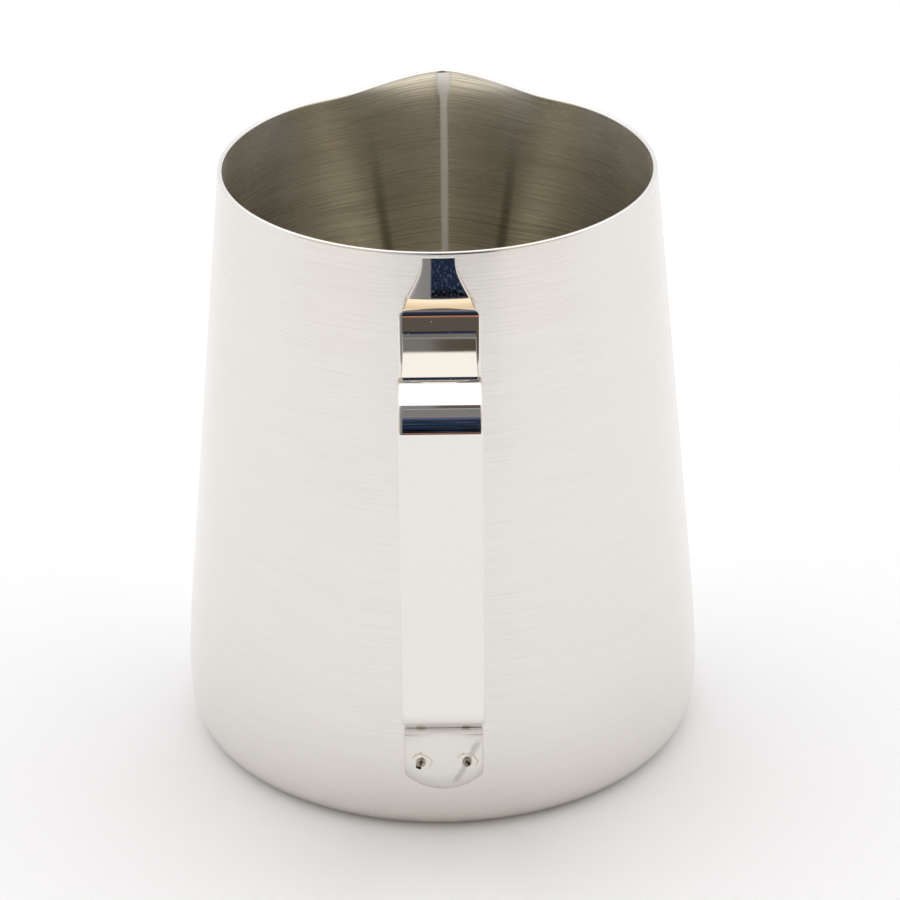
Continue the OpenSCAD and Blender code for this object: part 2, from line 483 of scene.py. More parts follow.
@dataclass(frozen=True)
class WeldedStripFinish(SteelFinish):
    """Strip steel with the marks of its spot welding: thin heat lines and a ground smear; and a painted shade
    in the step's crease.

    Attributes:
        spots: Distance across and height of each spot weld, in metres.
        line_radius: Radius of the heat line round a weld, in metres.
        line_width: Width of the heat line, in metres.
        line_strength: How strongly the heat line shows.
        smear_slope: Direction of the ground smear, in degrees from level.
        tint: Colour of the heat line.
        ground: Colour of the ground smear.
        step_foot: Height of the foot of the painted shade at the step, in metres.
        step_top: Height of its top, in metres.
        foot_shade: Colour of the painted shade at the step's foot, its darker end.
        top_shade: Colour of the painted shade at the step's top, its lighter end.
    """

    spots: tuple[tuple[float, float], ...] = ((-0.0041, 0.0152), (0.0041, 0.0152))
    line_radius: float = 0.00175
    line_width: float = 0.00011
    line_strength: float = 0.75
    smear_slope: float = 63.0
    tint: Colour = (0.50, 0.34, 0.20, 1.0)
    ground: Colour = (0.60, 0.575, 0.545, 1.0)
    step_foot: float = 0.1014
    step_top: float = 0.1025
    foot_shade: Colour = (0.52, 0.40, 0.26, 1.0)
    top_shade: Colour = (0.74, 0.60, 0.43, 1.0)

    def mark(self, tree: Tree, colour: Socket, rough: Socket) -> tuple[Socket, Socket]:
        """Adds the painted shade in the step's crease, the heat lines of the welds and the smear of grinding.

        Args:
            tree: The material's tree.
            colour: The colour so far.
            rough: The roughness so far.

        Returns:
            The colour and the roughness with the marks.
        """
        place = tree.node("ShaderNodeTexCoord").outputs["Object"]
        wave = tree.math("MULTIPLY", tree.math("SUBTRACT", tree.noise(place, 900.0, 1.0), 0.5), 0.0012)
        x, _, z = tree.place()
        # Painted shade: a brown band in the crease of the step, darker towards its foot.
        over = tree.ramp(z, self.step_foot - 0.0004, self.step_foot)
        under = tree.ramp(z, self.step_top, self.step_top + 0.0002, 1.0, 0.0)
        heat = tree.mix(tree.ramp(z, self.step_foot, self.step_top), self.foot_shade, self.top_shade)
        colour = tree.mix(tree.math("MULTIPLY", over, under), colour, heat)
        low = tree.ramp(z, 0.0212, 0.0222, 1.0, 0.0)
        for across, height in self.spots:
            side = tree.math("SUBTRACT", x, across)
            rise = tree.math("SUBTRACT", z, height)
            reach = tree.math("ADD", tree.distance(side, rise), wave)
            off = tree.math("ABSOLUTE", tree.math("SUBTRACT", reach, self.line_radius))
            line = tree.ramp(off, self.line_width * 0.4, self.line_width, 1.0, 0.0)
            slant = tree.math("ADD", tree.math("MULTIPLY", side, 0.6), rise)
            line = tree.product(line, tree.ramp(slant, -0.0004, 0.0003), low, self.line_strength)
            colour = tree.mix(line, colour, self.tint)
        across, height = self.spots[-1]
        turn = math.radians(self.smear_slope)
        side = tree.math("MULTIPLY", tree.math("SUBTRACT", x, across), math.sin(turn))
        rise = tree.math("MULTIPLY", tree.math("SUBTRACT", z, height), math.cos(turn))
        off = tree.math("ADD", tree.math("SUBTRACT", side, rise), tree.math("MULTIPLY", wave, 0.6))
        smear = tree.math("MULTIPLY", tree.ramp(tree.math("ABSOLUTE", off), 0.0002, 0.0008, 1.0, 0.0), low)
        ends = tree.math("MULTIPLY", tree.ramp(z, 0.0102, 0.0122), tree.ramp(z, 0.0182, 0.0202, 1.0, 0.0))
        smear = tree.math("MULTIPLY", smear, ends)
        colour = tree.mix(smear, colour, self.ground)
        return colour, tree.math("MULTIPLY_ADD", smear, 0.25, rough)


@dataclass(frozen=True)
class DrawnInsideFinish(SteelFinish):
    """Brushed steel with a painted highlight along the spout's crease, as a bright matt band, and painted
    dark reflections along the two ridges where the flanks leave the round wall.

    Attributes:
        crease_turn: Where the crease lies, in degrees round from straight opposite the handle.
        crease_half: Half the width of the painted highlight along the crease, in metres.
        crease_highlight: Colour of the painted highlight along the crease.
        crease_roughness: How much rougher the crease is.
        crease_dullness: How far the crease is from a metal mirror, from 0 to 1.
        draw_bottom: Height at which the spout starts, in metres.
        draw_reach: How far the spout reaches up from there, in metres.
        draw_angle: How far from the crease the lines reach at the lip, in degrees.
        draw_power: How quickly the lines close in down the wall.
        ridge_reflection: Colour of the painted dark reflection along each ridge.
    """

    crease_turn: float = 1.7
    crease_half: float = 0.00062
    crease_highlight: Colour = (1.0, 0.98, 0.93, 1.0)
    crease_roughness: float = 0.4
    crease_dullness: float = 0.92
    draw_bottom: float = 0.042
    draw_reach: float = 0.0676
    draw_angle: float = 21.5
    draw_power: float = 0.5
    ridge_reflection: Colour = (0.16, 0.15, 0.11, 1.0)

    def place(self, tree: Tree) -> tuple[Socket, Socket, Socket]:
        """Works out where a point lies on the spout.

        Args:
            tree: The material's tree.

        Returns:
            Degrees from the crease, distance from the jug's axis, and share of the spout's height.
        """
        x, y, z = tree.place()
        out = tree.distance(x, y)
        turn = tree.math("MULTIPLY", tree.math("ARCTAN2", x, y), 180.0 / math.pi)
        turn = tree.math("ABSOLUTE", tree.math("SUBTRACT", turn, self.crease_turn))
        rise = tree.math("DIVIDE", tree.math("SUBTRACT", z, self.draw_bottom), self.draw_reach)
        return turn, out, tree.math("MAXIMUM", rise, 0.001)

    def crease(self, tree: Tree) -> Socket:
        """Draws the painted highlight along the crease, a bright matt band.

        Args:
            tree: The material's tree.

        Returns:
            The painted highlight's strength, from 0 to 1.
        """
        turn, out, rise = self.place(tree)
        arc = tree.product(turn, math.pi / 180.0, out)
        half = tree.ramp(rise, 0.92, 0.985, self.crease_half, 2.2 * self.crease_half)
        crease = tree.ramp(tree.math("DIVIDE", arc, half), 0.6, 1.4, 1.0, 0.0)
        return tree.math("MULTIPLY", crease, tree.ramp(rise, 0.0, 0.3))

    def mark(self, tree: Tree, colour: Socket, rough: Socket) -> tuple[Socket, Socket]:
        """Adds the painted highlight along the crease and the painted dark reflections along the two ridges
        where the flanks leave the round wall.

        Args:
            tree: The material's tree.
            colour: The colour so far.
            rough: The roughness so far.

        Returns:
            The colour and the roughness with the marks.
        """
        turn, _, rise = self.place(tree)
        # Painted reflection: a dark line along each ridge where a flank leaves the round wall.
        edge = tree.math("MULTIPLY", tree.math("POWER", rise, self.draw_power), self.draw_angle)
        line = tree.ramp(tree.math("ABSOLUTE", tree.math("SUBTRACT", turn, edge)), 0.3, 2.4, 1.0, 0.0)
        line = tree.math("MULTIPLY", line, tree.ramp(rise, 0.05, 0.25))
        line = tree.math("MULTIPLY", line, tree.ramp(rise, 0.5, 0.95, 0.65, 0.0))
        colour = tree.mix(line, colour, self.ridge_reflection)
        # Painted highlight: a bright matt band along the crease stands in for the light caught in the trough.
        crease = self.crease(tree)
        colour = tree.mix(crease, colour, self.crease_highlight)
        return colour, tree.math("MULTIPLY_ADD", crease, self.crease_roughness, rough)

    def make(self, effects: Effects) -> bpy.types.Material:
        """Builds the material, whose painted crease highlight is dull rather than a mirror.

        Args:
            effects: The shared node groups.

        Returns:
            The material.
        """
        material = super().make(effects)
        tree = Tree(material.node_tree)
        shader = material.node_tree.nodes["Principled BSDF"]
        dull = tree.math("MULTIPLY", self.crease(tree), self.crease_dullness)
        tree.feed(shader.inputs["Metallic"], tree.math("SUBTRACT", 1.0, dull))
        return material


POLISHED_WALL = SteelFinish(
    name="polished_wall_steel",
    light=(0.80, 0.775, 0.735, 1.0),
    dark=(0.72, 0.695, 0.655, 1.0),
    grain=Grain.ROUND,
    fineness=4200.0,
    length=0.03,
    roughness=0.17,
    streak_roughness=0.08,
    bump=0.000002,
    anisotropy=0.3,
    smear=0.03,
    specks=0.004,
    contrast=0.30,
)

BRUSHED_INSIDE = DrawnInsideFinish(
    name="brushed_inside_steel",
    light=(0.94, 0.90, 0.79, 1.0),
    dark=(0.44, 0.40, 0.30, 1.0),
    grain=Grain.ROUND,
    fineness=2900.0,
    length=0.03,
    roughness=0.27,
    streak_roughness=0.16,
    bump=0.00002,
    anisotropy=0.9,
    smear=0.03,
    specks=0.004,
    contrast=0.9,
)

POLISHED_STRIP = WeldedStripFinish(
    name="polished_strip_steel",
    light=(0.80, 0.78, 0.74, 1.0),
    dark=(0.76, 0.735, 0.70, 1.0),
    grain=Grain.ACROSS,
    fineness=3000.0,
    length=0.006,
    roughness=0.025,
    streak_roughness=0.012,
    bump=0.0000003,
    anisotropy=0.0,
    smear=0.015,
    specks=0.018,
    contrast=0.25,
)

WELD_METAL = SteelFinish(
    name="heat_tinted_weld",
    light=(0.55, 0.50, 0.42, 1.0),
    dark=(0.16, 0.12, 0.08, 1.0),
    grain=Grain.ACROSS,
    fineness=2500.0,
    length=0.0008,
    roughness=0.22,
    streak_roughness=0.2,
    bump=0.00002,
    anisotropy=0.0,
    smear=0.1,
    specks=0.05,
    contrast=0.9,
)

SLAG = SteelFinish(
    name="burnt_slag",
    light=(0.05, 0.035, 0.022, 1.0),
    dark=(0.004, 0.003, 0.003, 1.0),
    grain=Grain.ACROSS,
    fineness=3000.0,
    length=0.0005,
    roughness=0.3,
    streak_roughness=0.3,
    bump=0.00002,
    anisotropy=0.0,
    smear=0.1,
    specks=0.0,
    contrast=0.9,
)


# ---------------------------------------------------------------------------
# Meshes
# ---------------------------------------------------------------------------


def grid_faces(rows: int, columns: int, around: bool) -> list[tuple[int, int, int, int]]:
    """Lists the quads of a grid of points.

    Args:
        rows: Number of rows.
        columns: Number of points in a row.
        around: True if each row closes on itself.

    Returns:
        The faces, as indices into the points row by row.
    """
    span = columns if around else columns - 1
    return [
        (r * columns + c, r * columns + (c + 1) % columns,
         (r + 1) * columns + (c + 1) % columns, (r + 1) * columns + c)
        for r in range(rows - 1)
        for c in range(span)
    ]


def new_piece(name: str, points: np.ndarray, faces: Sequence[Sequence[int]]) -> bpy.types.Object:
    """Makes a smooth-shaded mesh object from points in millimetres.

    Args:
        name: The object's name.
        points: Its points, one row each.
        faces: Its faces.

    Returns:
        The new object, in the scene.
    """
    mesh = bpy.data.meshes.new(name)
    mesh.from_pydata((points * MM).tolist(), [], [list(f) for f in faces])
    mesh.validate()
    mesh.shade_smooth()
    piece = bpy.data.objects.new(name, mesh)
    bpy.context.scene.collection.objects.link(piece)
    return piece


def dress_piece(piece: bpy.types.Object, node: str, slot: str, *finishes: bpy.types.Material) -> None:
    """Gives a piece its finishes and its place in the frame.

    Args:
        piece: The piece.
        node: The exact part's node that it stands in for.
        slot: The material slot that it belongs to; not used.
        *finishes: Its materials, in the order of its material slots.
    """
    for finish in finishes:
        piece.data.materials.append(finish)
    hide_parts(node)
    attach(piece, BODY)


def bell(x: np.ndarray | float) -> np.ndarray | float:
    """Gives the height of a bell curve of unit height and width."""
    return np.exp(-np.square(x))


@dataclass
class JugShell:
    """The drawn jug: wall, base corner, base, lip and spout in one sheet. Sizes in millimetres.

    The smooth skin keeps a small clearance inside the faceted exact part.
    """

    height: float = 110.0
    mouth_radius: float = 39.0
    foot_radius: float = 49.3
    wall: float = 0.9
    corner_height: float = 27.0
    base_radius: float = 42.4
    corner_fullness: float = 0.82
    spout_bottom: float = 42.0
    spout_start: float = 1.25
    spout_narrowing: float = 0.6
    spout_rise: float = 5.4
    flank_slope: float = 0.25
    crease_softness: float = 1.6
    spout_turn: float = 1.7
    flank_dip: float = 0.9
    dip_angle: float = 31.0
    dip_spread: float = 10.0
    flank_blend: float = 0.8
    lip_flare: float = 2.4
    flare_spread: float = 16.0
    flare_depth: float = 1.8
    columns: int = 264
    crowding: float = 36.0
    wall_rows: int = 64
    lip_crowding: float = 1.5
    corner_rows: int = 26
    base_rows: int = 10
    lip_rows: int = 10
    clearance: float = 0.01

    def cone_radius(self, z: np.ndarray | float) -> np.ndarray | float:
        """Gives the outside radius of the straight cone at a height."""
        return self.foot_radius - (self.foot_radius - self.mouth_radius) / self.height * z

    @property
    def lip_z(self) -> float:
        """Height of the middle of the lip's rounding."""
        return self.height - self.wall / 2

    def outline(self) -> np.ndarray:
        """Works out the outside of the jug in a plane through its axis.

        Returns:
            Rows of radius, height and the outward normal's two parts, from the base's middle up.
        """
        rows = []
        for i in range(1, self.base_rows):
            rows.append((self.base_radius * i / self.base_rows, 0.0, 0.0, -1.0))
        top = np.array([self.cone_radius(self.corner_height), self.corner_height])
        foot = np.array([self.base_radius, 0.0])
        point = np.array([self.foot_radius, 0.0])
        upper = top + (point - top) * self.corner_fullness
        lower = foot + (point - foot) * self.corner_fullness
        for t in np.linspace(0.0, 1.0, self.corner_rows + 1):
            u = 1.0 - t
            at = u**3 * foot + 3 * u * u * t * lower + 3 * u * t * t * upper + t**3 * top
            way = u * u * (lower - foot) + 2 * u * t * (upper - lower) + t * t * (top - upper)
            way = way / np.linalg.norm(way)
            rows.append((at[0], at[1], way[1], -way[0]))
        slope = (self.foot_radius - self.mouth_radius) / self.height
        normal = np.array([1.0, slope]) / math.hypot(1.0, slope)
        for i in range(1, self.wall_rows + 1):
            z = self.corner_height + (self.lip_z - self.corner_height) * (
                1.0 - (1.0 - i / self.wall_rows) ** self.lip_crowding
            )
            rows.append((self.cone_radius(z), z, normal[0], normal[1]))
        return np.array(rows)

    def spout(self, angle: np.ndarray, z: np.ndarray) -> np.ndarray:
        """Works out how far the spout moves the wall outwards.

        Args:
            angle: Degrees round from straight opposite the handle.
            z: Heights, of the same shape.

        Returns:
            The change of radius.
        """
        growth = np.maximum(0.0, (z - self.spout_bottom) / (self.lip_z - self.spout_bottom))
        growth = growth**self.spout_start
        angle = angle - self.spout_turn
        width = np.maximum(growth, 1e-6) ** self.spout_narrowing
        a = np.abs(angle) / width
        soft = self.crease_softness
        flank = self.spout_rise - self.flank_slope * (np.sqrt(a * a + soft * soft) - soft)
        hollow = -self.flank_dip * bell((a - self.dip_angle) / self.dip_spread)
        section = (flank + hollow + np.sqrt((flank - hollow) ** 2 + self.flank_blend**2)) / 2
        flare = self.lip_flare * bell(angle / self.flare_spread) * np.exp((z - self.lip_z) / self.flare_depth)
        return np.where(growth > 0.0, growth * section + flare, 0.0)

    def skin(self, angles: np.ndarray, row: np.ndarray, depth: float) -> np.ndarray:
        """Works out one ring of points on a face of the sheet.

        Args:
            angles: Degrees round from straight opposite the handle.
            row: A row of the outline.
            depth: 0 for the outside face and 1 for the inside face.

        Returns:
            The ring's points.
        """
        radius = row[0] - self.wall * depth * row[2]
        z = np.full_like(angles, row[1] - self.wall * depth * row[3])
        change = self.spout(angles + 0.5, z) - self.spout(angles - 0.5, z)
        side = change * 180.0 / math.pi / max(radius, 1.0)
        slant = np.sqrt(1.0 + side * side) - 1.0
        r = radius - self.clearance + self.spout(angles, z) - self.wall * depth * slant
        turn = np.radians(angles)
        return np.stack([r * np.sin(turn), r * np.cos(turn), z], axis=1)

    def build(self) -> bpy.types.Object:
        """Builds the shell's mesh, with its inside faces in a second material slot.

        Returns:
            The shell.
        """
        u = (np.arange(self.columns) + 0.5) * 360.0 / self.columns - 180.0
        angles = u - self.crowding * np.sin(np.radians(u))
        outline = self.outline()
        rings = [self.skin(angles, row, 0.0) for row in outline]
        outer, inner = rings[-1], self.skin(angles, outline[-1], 1.0)
        for i in range(1, self.lip_rows):
            turn = math.pi * i / self.lip_rows
            ring = (outer + inner) / 2 + (outer - inner) / 2 * math.cos(turn)
            ring[:, 2] += (self.wall / 2 - self.clearance) * math.sin(turn)
            rings.append(ring)
        inside_from = len(rings)
        rings += [self.skin(angles, row, 1.0) for row in outline[::-1]]
        points = np.concatenate(rings)
        faces: list[Sequence[int]] = [f[::-1] for f in grid_faces(len(rings), self.columns, True)]
        middles = np.array([[0.0, 0.0, 0.0], [0.0, 0.0, self.wall]])
        under, over = len(points), len(points) + 1
        last = (len(rings) - 1) * self.columns
        for j in range(self.columns):
            k = (j + 1) % self.columns
            faces.append((under, j, k))
            faces.append((over, last + k, last + j))
        piece = new_piece("jug_shell", np.concatenate([points, middles]), faces)
        for polygon in piece.data.polygons:
            within = min(polygon.vertices) >= inside_from * self.columns or polygon.vertices[0] == over
            polygon.material_index = int(within)
        return piece

    def dress(self, piece: bpy.types.Object, outside: bpy.types.Material, inside: bpy.types.Material) -> None:
        """Gives the shell its two finishes and its place in the frame.

        Args:
            piece: The shell.
            outside: Finish of the wall, the base and the lip.
            inside: Finish of the inside.
        """
        dress_piece(piece, "body_shell", "jug_steel", outside, inside)


@dataclass
class Stretch:
    """One stretch of the bent strip: its length, and its turn in degrees, positive outwards."""

    length: float
    turn: float = 0.0


def bend(radius: float, turn: float) -> Stretch:
    """Gives a bend of the outer face.

    Args:
        radius: Radius of the strip's outer face.
        turn: Degrees of turn, positive outwards.

    Returns:
        The stretch.
    """
    return Stretch(radius * abs(turn) * math.pi / 180.0, turn)


@dataclass
class HandleStrap:
    """The bent steel strip, followed down its outer face. Sizes in millimetres."""

    jug: JugShell = field(default_factory=JugShell)
    width: float = 14.0
    thickness: float = 1.6
    arch_radius: float = 7.3
    heel_radius: float = 2.9
    grip_length: float = 50.5
    spot_height: float = 15.2
    tab_drop: float = 1.5
    tab_lift: float = 0.35
    tab_top_width: float = 5.7
    tab_length: float = 7.3
    tab_foot_inset: float = 0.75
    tab_flare: float = 1.35
    tab_bow: float = 28.0
    tab_turn: float = 12.0
    tuck_radius: float = 2.2
    tuck_turn: float = 4.0
    start_slope: float = 65.0
    step_radius: float = 0.6
    step_slope: float = 38.0
    step_length: float = 1.4
    crest_radius: float = 2.0
    plate_slope: float = 80.8
    plate_bow: float = 635.0
    plate_turn: float = 1.0
    crease_radius: float = 0.6
    leg_rise: float = 37.0
    leg_bow: float = 59.5
    leg_turn: float = 11.0
    grip_lean: float = 5.0
    shoulder_radius: float = 0.9
    lower_leg_slope: float = 33.0
    foot_bend_radius: float = 3.0
    foot_turn: float = 57.0
    foot_tab_end: float = 9.0
    foot_slope: float = 88.0
    foot_swell: float = 0.35
    corner_set_in: float = 1.45
    foot_end_radius: float = 9.7
    edge_radius: float = 0.45
    flush: float = 0.1
    tab_dive: float = 0.7
    flat_below: float = 101.2
    flat_blend: float = 0.8
    foot_grind: float = 0.75
    grind_from: float = 12.5
    grind_reach: float = 3.5
    face_points: int = 25
    corner_points: int = 6
    foot_rows: int = 14
    step_degrees: float = 3.0
    step_reach: float = 0.8

    def stretches(self) -> list[Stretch]:
        """Lists the stretches from the upper tab's top edge to the end of the heel bend.

        Returns:
            The stretches, in order.
        """
        return [
            bend(self.tab_bow, -self.tab_turn),
            bend(self.tuck_radius, -self.tuck_turn),
            bend(self.step_radius, self.tab_turn + self.tuck_turn + self.start_slope - self.step_slope),
            Stretch(self.step_length),
            bend(self.crest_radius, self.step_slope - self.plate_slope),
            bend(self.plate_bow, -self.plate_turn),
            bend(self.crease_radius, self.plate_slope + self.plate_turn + self.leg_rise),
            bend(self.leg_bow, -self.leg_turn),
            bend(self.arch_radius, self.leg_turn - self.leg_rise - 90.0 + self.grip_lean),
            Stretch(self.grip_length),
            bend(self.heel_radius, -90.0 - self.grip_lean + self.lower_leg_slope),
        ]

    def walk(
        self, stretches: Sequence[Stretch], at: np.ndarray, heading: float
    ) -> list[tuple[np.ndarray, float]]:
        """Follows stretches from a point.

        Args:
            stretches: The stretches, in order.
            at: Starting point, as distance from the axis and height.
            heading: Starting direction in degrees.

        Returns:
            Points with their headings, the starting one included.
        """
        path = [(at, heading)]
        for s in stretches:
            steps = max(1, math.ceil(abs(s.turn) / self.step_degrees), math.ceil(s.length / self.step_reach))
            for _ in range(steps):
                turn = s.turn / steps
                way = math.radians(heading + turn / 2)
                at = at + s.length / steps * np.array([math.cos(way), math.sin(way)])
                heading += turn
                path.append((at, heading))
        return path

    def path(self) -> list[tuple[np.ndarray, float]]:
        """Works out the whole outer face from the upper tab to the end of the lower tab.

        Returns:
            Points, as distance from the axis and height, with their headings in degrees.
        """
        start = np.array([self.jug.mouth_radius + self.tab_lift, self.jug.height - self.tab_drop])
        path = self.walk(self.stretches(), start, -self.start_slope)
        # The tab's ground top edge runs out into the wall
        way = math.radians(-self.start_slope)
        for _ in range(3):
            above = path[0][0] - self.tab_dive / 3 * np.array([math.cos(way), math.sin(way)])
            path.insert(0, (above, -self.start_slope))
        reach = self.jug.cone_radius(self.spot_height) - self.corner_set_in + self.thickness
        before = math.radians(-180.0 + self.lower_leg_slope)
        after = math.radians(-180.0 + self.lower_leg_slope + self.foot_turn)
        bend_reach = self.foot_bend_radius * (math.sin(after) - math.sin(before))
        leg = (path[-1][0][0] - reach + bend_reach) / math.cos(math.radians(self.lower_leg_slope))
        path += self.walk([Stretch(leg), bend(self.foot_bend_radius, self.foot_turn)], *path[-1])[1:]
        top = path[-1][0]
        for i in range(1, self.foot_rows + 1):
            share = i / self.foot_rows
            out = top[0] + self.foot_swell * math.sin(math.radians(90.0 * share))
            path.append((np.array([out, top[1] + (self.foot_tab_end - top[1]) * share]), -self.foot_slope))
        return path

    def half_width(self, z: float) -> float:
        """Gives half the strip's width at a height above the arch, where the tab narrows.

        Args:
            z: The height.

        Returns:
            Half the width.
        """
        top = self.jug.height - self.tab_drop
        foot = top - self.tab_length
        if z >= foot:
            narrow = self.tab_top_width / 2
            share = min(1.0, max(0.0, (top - z) / self.tab_length))
            return narrow + (self.width / 2 - self.tab_foot_inset - narrow) * share**self.tab_flare
        drop = min(1.0, (foot - z) / self.shoulder_radius)
        rounding = 1.0 - math.sqrt(max(0.0, 1.0 - (1.0 - drop) ** 2))
        return self.width / 2 - self.tab_foot_inset * rounding

    def section(self, half: float, thick: float) -> np.ndarray:
        """Works out the strip's section, across and inwards from the outer face.

        Args:
            half: Half the width.
            thick: The thickness.

        Returns:
            The ring of points, as distance across and depth.
        """
        r = min(self.edge_radius, thick * 0.45, half * 0.4)
        ring: list[tuple[float, float]] = []
        flat = half - r
        for x in np.linspace(-flat, flat, self.face_points):
            ring.append((x, 0.0))
        for k in range(1, self.corner_points + 1):
            a = math.radians(90.0 * k / self.corner_points)
            ring.append((flat + r * math.sin(a), r - r * math.cos(a)))
        for k in range(self.corner_points + 1):
            a = math.radians(90.0 * k / self.corner_points)
            ring.append((flat + r * math.cos(a), thick - r + r * math.sin(a)))
        for x in np.linspace(flat, -flat, self.face_points)[1:]:
            ring.append((x, thick))
        for k in range(1, self.corner_points + 1):
            a = math.radians(90.0 * k / self.corner_points)
            ring.append((-flat - r * math.sin(a), thick - r + r * math.cos(a)))
        for k in range(self.corner_points):
            a = math.radians(90.0 * k / self.corner_points)
            ring.append((-flat - r * math.cos(a), r - r * math.sin(a)))
        return np.array(ring)

    def build(self) -> bpy.types.Object:
        """Builds the strip's mesh.

        Returns:
            The strip.
        """
        path = self.path()
        arch_from = next(i for i, (_, heading) in enumerate(path) if heading > 0.0)
        foot_from = max(i for i, (_, heading) in enumerate(path) if heading < -95.0)
        rings = []
        for i, (at, heading) in enumerate(path):
            upper = i < arch_from
            body = float(self.jug.cone_radius(at[1]))
            half = self.half_width(at[1]) if upper else self.width / 2
            thick = min(self.thickness, max(0.3, at[0] - body + self.flush)) if upper else self.thickness
            # Both tabs are curved to the jug; from the crest's end to the heel the strip is flat across
            hug = min(1.0, max(0.0, (i - foot_from) / 5.0))
            if upper:
                hug = min(1.0, max(0.0, (at[1] - self.flat_below) / self.flat_blend))
            across, depth = self.section(half, thick).T
            sag = (body - np.sqrt(body * body - across * across)) * hug
            way = math.radians(heading)
            ground = self.foot_grind * min(1.0, max(0.0, (self.grind_from - at[1]) / self.grind_reach)) ** 2
            out = at[0] + depth * math.sin(way) - sag - (0.0 if upper else ground)
            up = at[1] - depth * math.cos(way)
            if i > foot_from:
                lift = self.foot_end_radius - np.sqrt(self.foot_end_radius**2 - across * across)
                up = up + lift * (i - foot_from) / (len(path) - 1 - foot_from)
            rings.append(np.stack([across, -out, up], axis=1))
        points = np.concatenate(rings)
        count = len(rings[0])
        faces: list[Sequence[int]] = [f[::-1] for f in grid_faces(len(rings), count, True)]
        faces.append(list(range(count)))
        last = (len(rings) - 1) * count
        faces.append([last + k for k in range(count - 1, -1, -1)])
        return new_piece("handle_strip", points, faces)

    def dress(self, piece: bpy.types.Object, finish: bpy.types.Material) -> None:
        """Gives the strip its finish and its place in the frame.

        Args:
            piece: The strip.
            finish: Its material.
        """
        dress_piece(piece, "handle_strap", "strip_steel", finish)


@dataclass
class UpperSeam:
    """The ground seam along the upper tab's top edge. Sizes in millimetres."""

    strap: HandleStrap
    height: float = 0.62
    overlap: float = -0.18
    raggedness: float = 0.3
    proud: float = 0.05
    sunk: float = 0.15
    side_reach: float = 0.05
    columns: int = 90
    face_rows: int = 8

    def build(self) -> bpy.types.Object:
        """Builds the seam as a thin wedge with a ragged upper edge.

        Returns:
            The seam.
        """
        jug = self.strap.jug
        half = self.strap.tab_top_width / 2 + self.side_reach
        start = jug.height - self.strap.tab_drop
        foot = start - self.overlap
        shape = np.random.default_rng(7)
        rough = shape.normal(0.0, 1.0, self.columns)
        rough = np.convolve(rough, np.ones(3) / 3, mode="same")
        rings = []
        for k in range(self.columns):
            across = -half + 2 * half * k / (self.columns - 1)
            edge = min(1.0, (half - abs(across)) / 0.25 + 0.25)
            top = start + self.height * (0.7 + self.raggedness * float(np.clip(rough[k], -1.0, 1.0))) * edge
            ring = []
            for i in range(self.face_rows + 1):
                share = i / self.face_rows
                z = foot + (top - foot) * share
                wall = float(jug.cone_radius(z))
                proud = self.proud * (1.0 - share) + 0.012 * float(shape.normal())
                ring.append((wall + max(proud, 0.0), z))
            ring.append((float(jug.cone_radius(top)) - self.sunk, top))
            ring.append((float(jug.cone_radius(foot)) - self.sunk, foot))
            rings.append([(across, -math.sqrt(r * r - across * across), z) for r, z in ring])
        points = np.array(rings).reshape(-1, 3)
        count = len(rings[0])
        faces: list[Sequence[int]] = list(grid_faces(self.columns, count, True))
        faces.append(list(range(count - 1, -1, -1)))
        faces.append([(self.columns - 1) * count + k for k in range(count)])
        return new_piece("upper_seam", points, faces)

    def dress(self, piece: bpy.types.Object, finish: bpy.types.Material) -> None:
        """Gives the seam its finish and its place in the frame.

        Args:
            piece: The seam.
            finish: Its material.
        """
        dress_piece(piece, "upper_weld", "weld_metal", finish)


